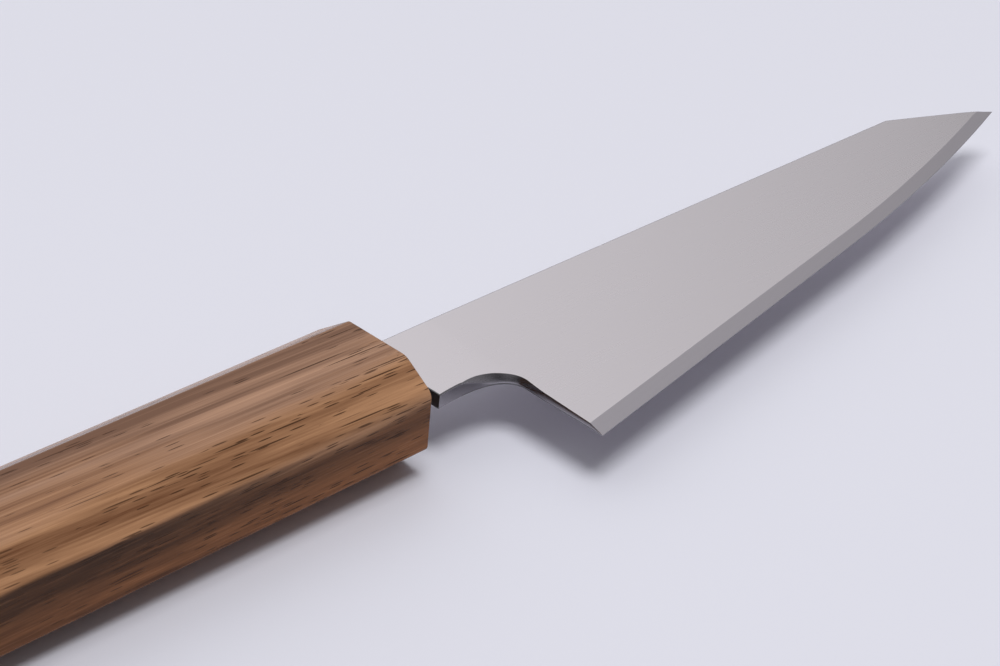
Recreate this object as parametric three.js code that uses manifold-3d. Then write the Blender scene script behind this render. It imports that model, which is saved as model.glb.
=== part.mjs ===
// A honesuki: a boning knife with a stiff, triangular, flat-backed blade on an octagonal wooden
// handle. It lies on the handle's lower flat: +X runs from the butt to the tip, +Y from the edge
// side to the spine side, and +Z up out of the blade's right face. The origin is the middle of the
// handle's lower flat. All sizes are in millimetres and all angles in degrees.

import * as THREE from 'three';
import { mergeVertices } from 'three/addons/utils/BufferGeometryUtils.js';
import Module from 'manifold-3d';

// Handle: an octagon whose broad and side flats widen a little towards the butt
const HANDLE_LENGTH = 135;
const HANDLE_WIDTH = 27.4; // across the side flats, from edge side to spine side
const HANDLE_THICKNESS = 20.2; // across the broad flats
const BROAD_FLAT_FRONT = 13.2;
const BROAD_FLAT_BUTT = 16.3;
const SIDE_FLAT_FRONT = 9.9;
const SIDE_FLAT_BUTT = 12;
const ARRIS_RADIUS = 1.6; // the softly rounded long edges
const FRONT_EDGE_RADIUS = 0.5; // the eased rim of the front end
const BUTT_EDGE_RADIUS = 1.6; // the rounder rim of the butt

// Blade, right face: places are measured from the handle's front end and from its axis
const HEEL_REACH = 21.4; // from the handle's front end to the heel corner
const HEEL_DROP = 32.9; // from the axis down to the heel corner
const EDGE_CHORD = 150; // straight from the heel corner to the tip
const EDGE_STRAIGHT = 83; // run along the axis before the edge starts to curve up
const TIP_LIFT = 5.1; // how far that curve lifts the tip off the line of the straight stretch
const SPINE_RISE = 8.55; // from the axis up to the spine, which is parallel to it
const TIP_DROP = 9.05; // from the spine down to the tip
const CLIP_ANGLE = 21.9; // fall of the clip from the spine to the tip
const CHOIL_DEPTH = 14.75; // below the axis, where the choil's curve runs into the heel
const CHOIL_NECK_PULL = 5.3; // how strongly the choil's curve leaves the neck,
const CHOIL_NECK_ANGLE = 7.8; // in which direction,
const CHOIL_HEEL_PULL = 5.9; // and how strongly it enters the heel
const NECK_DROP = 10.05; // from the axis down to the neck's lower corner

// Tang: it starts at shoulders that stand clear of the handle, and tapers to its end
const SHOULDER_GAP = 5.5; // from the handle's front end to the shoulders
const SHOULDER_STEP = 2.55; // from the spine down to the tang; the tang is centred on the axis
const TANG_END_HEIGHT = 8;
const TANG_END_COVER = 18; // solid wood left between the tang's end and the butt
const TANG_ROOT_FILLET = 1.2;
const TANG_END_FILLET = 2.5;

// Grind: the back is flat, and the right face falls straight from the spine to the bevel.
// The grind fades in over the choil's curve, so the neck keeps its full thickness.
const STOCK_THICKNESS = 2.9; // tang, neck, and spine over the heel
const GRIND_START = 12; // from the handle's front end to where the grind starts to fade in
const TIP_THICKNESS = 1.4; // the spine line carried on to the tip
const BEVEL_TOP_HEEL = 1.1; // blade thickness at the top of the bevel, over the heel
const BEVEL_TOP_TIP = 0.9; // and at the tip
const BEVEL_WIDTH_HEEL = 3.05; // ground bevel on the right face, at the heel
const BEVEL_WIDTH_TIP = 2.35; // and at the tip
const BACK_BEVEL_WIDTH = 0.8; // small honed bevel on the back
const BACK_BEVEL_RISE = 0.12;
const EDGE_LAND = 0.1; // blunt flat left on the cutting edge

// Fit of the tang in the handle
const BOND_THICKNESS = 1.5; // resin all round the tang
const BOND_RECESS = 0.5; // the resin stops this far inside the handle's mouth
const FIT_GAP = 0.15; // between the resin and what it touches

// Fineness of the surfaces
const ARRIS_STEPS = 4;
const RIM_STEPS = 4;
const SLOT_STEPS = 8; // round each end of the slot
const OUTLINE_STEPS = 16; // along each curve of the blade's outline
const GRIND_STATIONS = 24; // from heel to tip
const FADE_STATIONS = 5; // from the start of the grind to the heel
const OVERRUN = 2; // how far a cutting shape passes what it cuts

const wasm = await Module();
wasm.setup();

const radians = THREE.MathUtils.degToRad;
const lerp = THREE.MathUtils.lerp;

// Turns a closed geometry into a solid for joining and cutting
function solidOf(geometry) {
  const bare = new THREE.BufferGeometry();
  bare.setAttribute('position', geometry.getAttribute('position'));
  if (geometry.index) bare.setIndex(geometry.index);
  const merged = mergeVertices(bare);
  const mesh = new wasm.Mesh({
    numProp: 3,
    vertProperties: new Float32Array(merged.getAttribute('position').array),
    triVerts: new Uint32Array(merged.index.array),
  });
  return new wasm.Manifold(mesh);
}

function geometryOf(solid) {
  const mesh = solid.getMesh();
  const geometry = new THREE.BufferGeometry();
  geometry.setAttribute('position', new THREE.BufferAttribute(mesh.vertProperties, 3));
  geometry.setIndex(new THREE.BufferAttribute(mesh.triVerts, 1));
  geometry.computeVertexNormals();
  return geometry;
}

function indexedGeometry(points, triangles) {
  const geometry = new THREE.BufferGeometry();
  geometry.setFromPoints(points);
  geometry.setIndex(triangles);
  return geometry;
}

// Skins a row of convex rings, given in order of rising x, each anticlockwise seen from +X
function loft(rings) {
  const count = rings[0].length;
  const triangles = [];
  for (let ring = 0; ring + 1 < rings.length; ring += 1) {
    for (let i = 0; i < count; i += 1) {
      const next = (i + 1) % count;
      const a = ring * count + i;
      const b = ring * count + next;
      triangles.push(a, b, b + count, a, b + count, a + count);
    }
  }
  const last = (rings.length - 1) * count;
  for (let i = 1; i + 1 < count; i += 1) {
    triangles.push(0, i + 1, i);
    triangles.push(last, last + i, last + i + 1);
  }
  return indexedGeometry(rings.flat(), triangles);
}

// Rounds every corner of a convex outline with an arc
function roundCorners(corners, radius, steps) {
  const count = corners.length;
  const points = [];
  corners.forEach((corner, i) => {
    const towardsLast = corners[(i + count - 1) % count].clone().sub(corner).normalize();
    const towardsNext = corners[(i + 1) % count].clone().sub(corner).normalize();
    const bisector = towardsLast.clone().add(towardsNext).normalize();
    const sine = Math.sqrt((1 - towardsLast.dot(towardsNext)) / 2);
    const centre = corner.clone().addScaledVector(bisector, radius / sine);
    const start = Math.atan2(-towardsLast.x, towardsLast.y);
    const turn = 2 * Math.acos(sine);
    for (let step = 0; step <= steps; step += 1) {
      const angle = start + (turn * step) / steps - Math.PI;
      const arm = new THREE.Vector2(Math.cos(angle), Math.sin(angle));
      points.push(centre.clone().addScaledVector(arm, radius));
    }
  });
  return points;
}

function ringAt(x, outline) {
  return outline.map((point) => new THREE.Vector3(x, point.x, point.y));
}

// The handle's octagon at a place along it, with every side moved in by the same amount
function handleRing(x, inset) {
  const share = -x / HANDLE_LENGTH;
  const halfWidth = HANDLE_WIDTH / 2;
  const halfThickness = HANDLE_THICKNESS / 2;
  const broad = lerp(BROAD_FLAT_FRONT, BROAD_FLAT_BUTT, share) / 2;
  const side = lerp(SIDE_FLAT_FRONT, SIDE_FLAT_BUTT, share) / 2;
  const normal = new THREE.Vector2(halfThickness - side, halfWidth - broad).normalize();
  const reach = normal.x * broad + normal.y * halfThickness - inset;
  const top = halfThickness - inset;
  const flank = halfWidth - inset;
  const broadIn = (reach - normal.y * top) / normal.x;
  const sideIn = (reach - normal.x * flank) / normal.y;
  const corners = [
    [flank, -sideIn], [flank, sideIn], [broadIn, top], [-broadIn, top],
    [-flank, sideIn], [-flank, -sideIn], [-broadIn, -top], [broadIn, -top],
  ].map(([y, z]) => new THREE.Vector2(y, z));
  return ringAt(x, roundCorners(corners, ARRIS_RADIUS, ARRIS_STEPS));
}

// The tang, and everything that fits round it, follows one taper
const tangEnd = TANG_END_COVER - HANDLE_LENGTH;
const tangRootHeight = 2 * (SPINE_RISE - SHOULDER_STEP);

function tangHeight(x) {
  const share = (SHOULDER_GAP - x) / (SHOULDER_GAP - tangEnd);
  return lerp(tangRootHeight, TANG_END_HEIGHT, share);
}

// A slot with round ends, larger than the tang by a margin all round
function slotRing(x, margin) {
  const radius = STOCK_THICKNESS / 2 + margin;
  const centre = tangHeight(x) / 2 + margin - radius;
  const outline = [];
  [1, -1].forEach((side) => {
    for (let step = 0; step <= SLOT_STEPS; step += 1) {
      const angle = Math.PI * (step / SLOT_STEPS - side / 2);
      const arm = new THREE.Vector2(Math.cos(angle), Math.sin(angle)).multiplyScalar(radius);
      arm.x += side * centre;
      outline.push(arm);
    }
  });
  return ringAt(x, outline);
}

// The tang's own rectangle, larger by a margin all round
function tangRing(x, margin) {
  const y = tangHeight(x) / 2 + margin;
  const z = STOCK_THICKNESS / 2 + margin;
  const corners = [[y, -z], [y, z], [-y, z], [-y, -z]];
  return ringAt(x, corners.map(([a, b]) => new THREE.Vector2(a, b)));
}

function handleGeometry() {
  const rings = [];
  for (let step = 0; step <= RIM_STEPS; step += 1) {
    const angle = (Math.PI / 2) * (step / RIM_STEPS);
    const inset = BUTT_EDGE_RADIUS * (1 - Math.sin(angle));
    rings.push(handleRing(BUTT_EDGE_RADIUS * (1 - Math.cos(angle)) - HANDLE_LENGTH, inset));
  }
  for (let step = RIM_STEPS; step >= 0; step -= 1) {
    const angle = (Math.PI / 2) * (step / RIM_STEPS);
    const inset = FRONT_EDGE_RADIUS * (1 - Math.sin(angle));
    rings.push(handleRing(-FRONT_EDGE_RADIUS * (1 - Math.cos(angle)), inset));
  }
  const body = solidOf(loft(rings));
  const slotRings = [tangEnd - BOND_THICKNESS, OVERRUN].map((x) => slotRing(x, BOND_THICKNESS));
  return geometryOf(body.subtract(solidOf(loft(slotRings))));
}

function adhesiveGeometry() {
  const margin = BOND_THICKNESS - FIT_GAP;
  const outer = loft([tangEnd - margin, -BOND_RECESS].map((x) => slotRing(x, margin)));
  const inner = loft([tangEnd - FIT_GAP, OVERRUN].map((x) => tangRing(x, FIT_GAP)));
  return geometryOf(solidOf(outer).subtract(solidOf(inner)));
}

// Main points of the blade's outline
const heel = new THREE.Vector2(HEEL_REACH, -HEEL_DROP);
const edgeRise = HEEL_DROP + SPINE_RISE - TIP_DROP;
const edgeRun = Math.sqrt(EDGE_CHORD ** 2 - edgeRise ** 2);
const tip = new THREE.Vector2(HEEL_REACH + edgeRun, SPINE_RISE - TIP_DROP);
const clipRun = TIP_DROP / Math.tan(radians(CLIP_ANGLE));
const clipTop = new THREE.Vector2(tip.x - clipRun, SPINE_RISE);
const edgeSlope = (edgeRise - TIP_LIFT) / edgeRun;
const curveStart = HEEL_REACH + EDGE_STRAIGHT;
const curveRun = edgeRun - EDGE_STRAIGHT;

// The edge is a straight line that goes on, past the start of its curve, as a parabola to the tip
function curveShare(x) {
  return Math.max(0, (x - curveStart) / curveRun);
}

function edgeHeight(x) {
  return heel.y + edgeSlope * (x - heel.x) + TIP_LIFT * curveShare(x) ** 2;
}

function edgeClimb(x) {
  return edgeSlope + (2 * TIP_LIFT * curveShare(x)) / curveRun;
}

// A fillet takes at most half of the wall that it eases
function fillet(radius, ...walls) {
  return Math.min(radius, ...walls.map((wall) => wall / 2));
}

function bladeOutline() {
  const tangRoot = tangRootHeight / 2;
  const rootFillet = fillet(TANG_ROOT_FILLET, SHOULDER_STEP, NECK_DROP - tangRoot);
  const rootX = SHOULDER_GAP - rootFillet;
  const rootHalf = tangHeight(rootX) / 2;
  const tangTip = TANG_END_HEIGHT / 2;
  const endFillet = fillet(TANG_END_FILLET, TANG_END_HEIGHT);
  const endX = tangEnd + endFillet;
  const endHalf = tangHeight(endX) / 2;
  const choilEnd = new THREE.Vector2(HEEL_REACH, -CHOIL_DEPTH);
  const pullAngle = radians(CHOIL_NECK_ANGLE);
  const shape = new THREE.Shape();
  shape.moveTo(endX, -endHalf);
  shape.lineTo(rootX, -rootHalf);
  shape.quadraticCurveTo(SHOULDER_GAP, -tangRoot, SHOULDER_GAP, -tangRoot - rootFillet);
  shape.lineTo(SHOULDER_GAP, -NECK_DROP);
  shape.bezierCurveTo(
    SHOULDER_GAP + CHOIL_NECK_PULL * Math.cos(pullAngle),
    CHOIL_NECK_PULL * Math.sin(pullAngle) - NECK_DROP,
    choilEnd.x,
    choilEnd.y + CHOIL_HEEL_PULL,
    choilEnd.x,
    choilEnd.y,
  );
  shape.lineTo(heel.x, heel.y);
  shape.lineTo(curveStart, edgeHeight(curveStart));
  const curveMiddle = (curveStart + tip.x) / 2;
  shape.quadraticCurveTo(curveMiddle, heel.y + edgeSlope * (curveMiddle - heel.x), tip.x, tip.y);
  shape.lineTo(clipTop.x, clipTop.y);
  shape.lineTo(SHOULDER_GAP, SPINE_RISE);
  shape.lineTo(SHOULDER_GAP, tangRoot + rootFillet);
  shape.quadraticCurveTo(SHOULDER_GAP, tangRoot, rootX, rootHalf);
  shape.lineTo(endX, endHalf);
  shape.quadraticCurveTo(tangEnd, tangTip, tangEnd, tangTip - endFillet);
  shape.lineTo(tangEnd, endFillet - tangTip);
  shape.quadraticCurveTo(tangEnd, -tangTip, endX, -endHalf);
  return shape;
}

// One cross-section of the ground bar: places across it, each with the heights of its two faces
function grindSection(x) {
  const share = THREE.MathUtils.clamp((x - heel.x) / (tip.x - heel.x), 0, 1);
  const ground = THREE.MathUtils.smoothstep(x, GRIND_START, heel.x);
  const spineThickness = lerp(STOCK_THICKNESS, TIP_THICKNESS, share);
  const bevelTop = lerp(BEVEL_TOP_HEEL, BEVEL_TOP_TIP, share);
  const bevelWidth = lerp(BEVEL_WIDTH_HEEL, BEVEL_WIDTH_TIP, share);
  const slant = Math.hypot(1, edgeClimb(x));
  const edge = edgeHeight(x);
  const bevelLine = edge + bevelWidth * slant;
  const back = -STOCK_THICKNESS / 2;
  const edgeLow = back + BACK_BEVEL_RISE;
  const edgeHigh = edgeLow + EDGE_LAND;
  const bevelHigh = back + bevelTop;
  const lines = [
    { y: edge - OVERRUN, low: edgeLow, high: edgeHigh },
    { y: edge, low: edgeLow, high: edgeHigh },
    {
      y: edge + BACK_BEVEL_WIDTH * slant,
      low: back,
      high: lerp(edgeHigh, bevelHigh, BACK_BEVEL_WIDTH / bevelWidth),
    },
    { y: bevelLine, low: back, high: bevelHigh },
    { y: SPINE_RISE, low: back, high: back + spineThickness },
    { y: SPINE_RISE + OVERRUN, low: back, high: back + spineThickness },
  ];
  return lines.map(({ y, low, high }) => ({
    x,
    y,
    low: lerp(back, low, ground),
    high: lerp(-back, high, ground),
  }));
}

// The ground bar: tapered in length and across, and longer and wider than the blade all round
function grindGeometry() {
  const stations = [tangEnd - OVERRUN];
  for (let station = 0; station < FADE_STATIONS; station += 1) {
    stations.push(lerp(GRIND_START, heel.x, station / FADE_STATIONS));
  }
  for (let station = 0; station <= GRIND_STATIONS; station += 1) {
    stations.push(lerp(heel.x, tip.x, station / GRIND_STATIONS));
  }
  stations.push(tip.x + OVERRUN);
  const sections = stations.map(grindSection);
  const count = sections[0].length;
  const points = sections.flatMap((section) => [
    ...section.map((line) => new THREE.Vector3(line.x, line.y, line.low)),
    ...section.map((line) => new THREE.Vector3(line.x, line.y, line.high)),
  ]);
  const low = (station, line) => station * 2 * count + line;
  const high = (station, line) => low(station, line) + count;
  const triangles = [];
  const quad = (a, b, c, d) => triangles.push(a, b, c, a, c, d);
  const final = stations.length - 1;
  for (let s = 0; s < final; s += 1) {
    for (let n = 0; n + 1 < count; n += 1) {
      quad(high(s, n), high(s + 1, n), high(s + 1, n + 1), high(s, n + 1));
      quad(low(s, n), low(s, n + 1), low(s + 1, n + 1), low(s + 1, n));
    }
    quad(low(s, 0), low(s + 1, 0), high(s + 1, 0), high(s, 0));
    quad(high(s, count - 1), high(s + 1, count - 1), low(s + 1, count - 1), low(s, count - 1));
  }
  for (let n = 0; n + 1 < count; n += 1) {
    quad(low(0, n), high(0, n), high(0, n + 1), low(0, n + 1));
    quad(low(final, n), low(final, n + 1), high(final, n + 1), high(final, n));
  }
  return indexedGeometry(points, triangles);
}

function bladeGeometry() {
  const plate = new THREE.ExtrudeGeometry(bladeOutline(), {
    depth: STOCK_THICKNESS + 2 * OVERRUN,
    bevelEnabled: false,
    curveSegments: OUTLINE_STEPS,
  });
  plate.translate(0, 0, -STOCK_THICKNESS / 2 - OVERRUN);
  return geometryOf(solidOf(plate).intersect(solidOf(grindGeometry())));
}

function piece(name, geometry, finish) {
  const mesh = new THREE.Mesh(geometry, new THREE.MeshStandardMaterial(finish));
  mesh.name = name;
  return mesh;
}

const knife = new THREE.Group();
knife.add(
  piece('blade', bladeGeometry(), { color: 0xc0bcbe, roughness: 0.32, metalness: 1 }),
  piece('handle', handleGeometry(), { color: 0x84644c, roughness: 0.55, metalness: 0 }),
  piece('tang_adhesive', adhesiveGeometry(), { color: 0x2f2620, roughness: 0.45, metalness: 0 }),
);
knife.position.set(HANDLE_LENGTH / 2, 0, HANDLE_THICKNESS / 2);

export default knife;
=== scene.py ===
# %% [markdown]
# # Finishing a honesuki knife
# A honesuki is a boning knife: a stiff, triangular blade that is ground on one face only, in an octagonal
# handle of wood. The frame brings in the knife's solids at their true size and place. This lesson remakes
# the handle and the blade with the eased edges of the real thing, and gives the wood, the steel and the
# resin their finishes. Nothing is moved or resized: every piece is made in the frame's own metres.

# %% Load the frame
import math
from functools import partial
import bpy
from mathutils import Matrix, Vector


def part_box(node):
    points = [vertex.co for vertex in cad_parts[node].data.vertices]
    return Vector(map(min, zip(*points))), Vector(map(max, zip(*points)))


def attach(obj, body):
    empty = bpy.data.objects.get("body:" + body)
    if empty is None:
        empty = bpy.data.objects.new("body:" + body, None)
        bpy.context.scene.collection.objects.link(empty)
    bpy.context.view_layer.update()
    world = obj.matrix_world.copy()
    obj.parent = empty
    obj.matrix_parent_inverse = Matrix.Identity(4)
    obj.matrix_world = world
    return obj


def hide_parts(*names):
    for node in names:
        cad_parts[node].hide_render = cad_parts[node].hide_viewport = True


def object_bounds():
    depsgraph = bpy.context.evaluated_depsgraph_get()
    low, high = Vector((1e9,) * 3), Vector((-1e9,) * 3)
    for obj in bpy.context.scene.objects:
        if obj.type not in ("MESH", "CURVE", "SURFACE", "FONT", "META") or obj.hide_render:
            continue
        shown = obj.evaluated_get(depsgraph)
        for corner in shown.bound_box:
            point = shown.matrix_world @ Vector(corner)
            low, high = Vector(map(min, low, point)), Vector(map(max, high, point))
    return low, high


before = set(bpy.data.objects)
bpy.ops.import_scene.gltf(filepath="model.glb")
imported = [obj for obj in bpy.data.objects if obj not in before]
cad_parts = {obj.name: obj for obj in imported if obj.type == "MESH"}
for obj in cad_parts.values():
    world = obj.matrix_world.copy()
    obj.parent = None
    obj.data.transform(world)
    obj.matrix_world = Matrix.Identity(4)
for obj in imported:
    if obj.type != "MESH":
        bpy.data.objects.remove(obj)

from types import SimpleNamespace

import bpy
import numpy as np
from mathutils import Matrix, Vector
from mathutils.geometry import delaunay_2d_cdt

MM = 0.001
cad_low, cad_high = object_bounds()
handle_low, handle_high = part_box("handle")
blade_low, blade_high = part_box("blade")
print("solids:", ", ".join(sorted(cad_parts)))
print("whole knife, mm:", [round(side / MM, 1) for side in cad_high - cad_low])

# %% [markdown]
# ## The camera
# The knife is seen from the butt, a little from the edge's side, through a long lens. A camera could be
# aimed with a Track To constraint, but the view also rolls slightly, so its three axes are worked out from
# a turn, a dip and a roll, and written into the camera's matrix.

# %% Camera
CAMERA_PLACE = Vector((-297.36, -355.59, 333.27)) * MM
CAMERA_TURN = math.radians(41.995)  # from +X towards +Y
CAMERA_DIP = math.radians(31.349)  # below the horizon
CAMERA_ROLL = math.radians(5.369)
LENS_MM = 129.6
SENSOR_MM = 36.0


def camera_matrix():
    heading = Vector((math.cos(CAMERA_TURN), math.sin(CAMERA_TURN), 0.0))
    forward = heading * math.cos(CAMERA_DIP) - Vector((0.0, 0.0, math.sin(CAMERA_DIP)))
    level = Vector((heading.y, -heading.x, 0.0))
    upright = level.cross(forward)
    right = level * math.cos(CAMERA_ROLL) + upright * math.sin(CAMERA_ROLL)
    up = upright * math.cos(CAMERA_ROLL) - level * math.sin(CAMERA_ROLL)
    axes = Matrix((right, up, -forward)).transposed().to_4x4()
    return Matrix.Translation(CAMERA_PLACE) @ axes


camera_data = bpy.data.cameras.new("camera")
camera_data.lens = LENS_MM
camera_data.sensor_width = SENSOR_MM
camera = bpy.data.objects.new("camera", camera_data)
camera.matrix_world = camera_matrix()
bpy.context.scene.collection.objects.link(camera)
bpy.context.scene.camera = camera
print("camera stands", round(CAMERA_PLACE.length / MM), "mm from the middle of the handle")

# %% [markdown]
# ## Writing node trees as sums
# Both the handle's shape and every finish are node trees. Adding Math nodes one by one is long and hard to
# read, so a small class wraps an output socket: arithmetic on it adds the Math nodes, and its one `node`
# method adds any other node. A node's settings come first, because some of them change its sockets.

# %% A socket that takes part in sums
class Wire:
    """An output socket, or just a tree in which to start."""

    def __init__(self, tree, socket=None):
        self.tree = tree
        self.socket = socket

    def node(self, kind, settings=None, inputs=None, output=0):
        """Adds a node: its settings, then the values or wires of its inputs."""
        made = self.tree.nodes.new(kind)
        for name, value in (settings or {}).items():
            setattr(made, name, value)
        for name, value in (inputs or {}).items():
            if isinstance(value, Wire):
                self.tree.links.new(value.socket, made.inputs[name])
            else:
                made.inputs[name].default_value = value
        return Wire(self.tree, made.outputs[output] if made.outputs else None)

    def maths(self, operation, *values):
        return self.node("ShaderNodeMath", {"operation": operation}, dict(enumerate(values)))

    def vector(self, operation, *values, output=0):
        return self.node("ShaderNodeVectorMath", {"operation": operation}, dict(enumerate(values)), output)

    def __add__(self, value):
        return self.maths("ADD", self, value)

    def __sub__(self, value):
        return self.maths("SUBTRACT", self, value)

    def __rsub__(self, value):
        return self.maths("SUBTRACT", value, self)

    def __mul__(self, value):
        return self.maths("MULTIPLY", self, value)

    def __truediv__(self, value):
        return self.maths("DIVIDE", self, value)

    def __gt__(self, value):
        return self.maths("GREATER_THAN", self, value)

    __radd__ = __add__
    __rmul__ = __mul__


def between(start, end, share):
    """A value part of the way from start to end."""
    return start + (end - start) * share


def limited(wire):
    """A value that is kept from 0 to 1."""
    return wire.maths("MINIMUM", wire.maths("MAXIMUM", wire, 0.0), 1.0)


print("node trees are written with Wire")

# %% [markdown]
# ## The handle's rule
# The handle is one stick of wood planed to an octagon. Its slanted flats widen towards the front, so no
# plain extrusion gives it. Near the front one of them also stands out a little and has softer arrises: the
# upper one on the edge's side, where the forefinger lies. The handle could be lofted by hand, but every
# point follows one rule, and so it suits Geometry Nodes: a grid is wrapped round the axis like a sleeve.
# Its rows run from the butt to the front, drawn in at both ends to ease the rims, and its columns go round
# the octagon, with an arc at each arris.

# %% Sizes of the handle
handle_sizes = {
    "Length": handle_high.x - handle_low.x,
    "Width": handle_high.y - handle_low.y,
    "Thickness": handle_high.z - handle_low.z,
    "Broad flat at front": 13.2 * MM,
    "Broad flat at butt": 16.3 * MM,
    "Side flat at front": 9.9 * MM,
    "Side flat at butt": 12.0 * MM,
    "Arris radius": 0.8 * MM,
    "Finger arris radius at front": 3.2 * MM,
    "Finger arris radius at butt": 1.2 * MM,
    "Lower finger arris radius at front": 2.4 * MM,
    "Finger flat stand-out at broad flat": 0.4 * MM,
    "Finger flat stand-out at side flat": 0.9 * MM,
    "Front edge radius": 0.5 * MM,
    "Butt edge radius": 1.6 * MM,
}
RIM_STEPS = 6
ARRIS_STEPS = 8
BODY_STEPS = 30
FINGER_POWER = 4  # how late, towards the front, the forefinger's flat starts to stand out
HANDLE_ROWS = 2 * RIM_STEPS + BODY_STEPS + 3
QUARTER_SPOTS = 2 * (ARRIS_STEPS + 1)
HANDLE_SPOTS = 4 * QUARTER_SPOTS
handle_middle = (handle_low + handle_high) / 2
print("handle, mm:", {name: round(value / MM, 2) for name, value in handle_sizes.items()})

# %% A sleeve of points round the X axis
MERGE_DISTANCE = 0.001 * MM  # closes the sleeve's seam and its two ends


def sleeve(start, rows, spots, place):
    """A closed skin: place(row, spot) gives each point's position, and how far it lies on an eased edge."""
    columns = spots + 1
    grid = start.node("GeometryNodeMeshGrid", None, {"Vertices X": rows, "Vertices Y": columns})
    index = start.node("GeometryNodeInputIndex")
    row = index.maths("FLOOR", (index + 0.5) / columns)
    spot = index.maths("MODULO", index - row * columns, spots)
    x, y, z, eased = place(row, spot)
    mark = {"Geometry": grid, "Name": "eased", "Value": eased}
    marked = start.node("GeometryNodeStoreNamedAttribute", {"data_type": "FLOAT", "domain": "POINT"}, mark)
    position = start.node("ShaderNodeCombineXYZ", None, {"X": x, "Y": y, "Z": z})
    skin = start.node("GeometryNodeSetPosition", None, {"Geometry": marked, "Position": position})
    merge = {"Geometry": skin, "Distance": MERGE_DISTANCE}
    return start.node("GeometryNodeMergeByDistance", None, merge)


def group_inputs(tree, sizes):
    """Adds a named input for each size, and gives the wires and the identifiers."""
    identifiers = {}
    for name in sizes:
        made = tree.interface.new_socket(name, in_out="INPUT", socket_type="NodeSocketFloat")
        identifiers[name] = made.identifier
    source = tree.nodes.new("NodeGroupInput")
    wires = {name: Wire(tree, source.outputs[name]) for name in sizes}
    return wires, identifiers


print("handle's sleeve:", HANDLE_ROWS, "rows of", HANDLE_SPOTS, "points")

# %% [markdown]
# The section of the octagon is drawn in one quarter and mirrored to the other three. In a quarter the
# outline turns twice: from the side flat to the slanted flat, and from there to the broad flat. The
# slanted flat leans by the angle of its own normal, and each turn is an arc about a centre that lies one
# radius inside both flats. The forefinger's quarter follows the same rule with sizes of its own.

# %% A point of the octagon
QUARTER_TURN = math.pi / 2


def octagon_point(size, share, inset, spot):
    """A place in the section that lies this share of the way to the front, drawn in by inset."""
    flank = size["Width"] / 2
    top = size["Thickness"] / 2
    # The quarters go round from the upper one on the spine's side, and the second is the forefinger's.
    quarter = spot.maths("FLOOR", (spot + 0.5) / QUARTER_SPOTS)
    finger = (quarter > 0.5) - (quarter > 1.5)
    near_front = share.maths("POWER", share, FINGER_POWER)
    broad = between(size["Broad flat at butt"], size["Broad flat at front"], share) / 2
    broad = broad + finger * near_front * size["Finger flat stand-out at broad flat"]
    side = between(size["Side flat at butt"], size["Side flat at front"], share) / 2
    side = side + finger * near_front * size["Finger flat stand-out at side flat"]
    mirrored = quarter.maths("MODULO", quarter, 2)
    place = spot - quarter * QUARTER_SPOTS
    place = between(place, QUARTER_SPOTS - 1 - place, mirrored)
    upper = place > ARRIS_STEPS + 0.5
    turn = (place - upper * (ARRIS_STEPS + 1)) / ARRIS_STEPS
    lean = spot.maths("ARCTAN2", flank - broad, top - side)
    across, rise = spot.maths("COSINE", lean), spot.maths("SINE", lean)
    upper_soft = between(size["Finger arris radius at butt"], size["Finger arris radius at front"], share)
    lower_soft = between(size["Arris radius"], size["Lower finger arris radius at front"], near_front)
    radius = between(size["Arris radius"], between(lower_soft, upper_soft, upper), finger)
    reach = across * broad + rise * top - inset - radius
    flank_in, top_in = flank - inset - radius, top - inset - radius
    centre_y = between(flank_in, (reach - rise * top_in) / across, upper)
    centre_z = between((reach - across * flank_in) / rise, top_in, upper)
    angle = between(lean * turn, between(lean, QUARTER_TURN, turn), upper)
    sign_y = 1 - 2 * ((quarter > 0.5) - (quarter > 2.5))
    sign_z = 1 - 2 * (quarter > 1.5)
    y = sign_y * (centre_y + radius * spot.maths("COSINE", angle))
    z = sign_z * (centre_z + radius * spot.maths("SINE", angle))
    return y, z, turn


print("a quarter of the octagon:", QUARTER_SPOTS, "points on two arcs")


# %% A point of the handle's skin
def handle_point(size, row, spot):
    last = HANDLE_ROWS - 1
    butt_turn = limited((row - 1) / RIM_STEPS) * QUARTER_TURN
    front_turn = limited((last - 1 - row) / RIM_STEPS) * QUARTER_TURN
    along = limited((row - 1 - RIM_STEPS) / BODY_STEPS)
    opened = limited(row.maths("MINIMUM", row, last - row))
    butt_radius = size["Butt edge radius"]
    front_radius = size["Front edge radius"]
    butt_reach = butt_radius - butt_radius * row.maths("COSINE", butt_turn)
    front_reach = size["Length"] - front_radius + front_radius * row.maths("COSINE", front_turn)
    x = between(butt_reach, front_reach, along)
    inset = butt_radius - butt_radius * row.maths("SINE", butt_turn)
    inset = inset + front_radius - front_radius * row.maths("SINE", front_turn)
    y, z, turn = octagon_point(size, x / size["Length"], inset, spot)
    rim = row.maths("SINE", 2 * butt_turn) + row.maths("SINE", 2 * front_turn)
    eased = row.maths("MAXIMUM", rim, 4 * turn * (1 - turn))
    y = y * opened + handle_middle.y
    z = z * opened + handle_middle.z
    return x + handle_low.x, y, z, eased


print("handle's rims:", RIM_STEPS, "steps at each end")

# %% [markdown]
# ## The slot for the tang
# A blind slot with round ends is burnt or bored into the front of the handle, and resin holds the tang in
# it. A second sleeve, the slot's own shape, is taken away with a Boolean, so the mouth of the slot is real.

# %% Sizes of the tang and its slot
SHOULDER_GAP = 5.5 * MM  # from the handle's front to the blade's shoulders
SHOULDER_STEP = 2.55 * MM
TANG_END_HEIGHT = 8.0 * MM
BOND_THICKNESS = 1.5 * MM
MOUTH_OVERRUN = 2.0 * MM
SLOT_ROWS = 4
SLOT_STEPS = 12  # round each of the slot's two ends
stock = blade_high.z - blade_low.z
spine_y = blade_high.y
tang_end_x = blade_low.x
front_x = handle_high.x
shoulder_x = front_x + SHOULDER_GAP
tang_root_height = 2 * (spine_y - SHOULDER_STEP)


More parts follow.
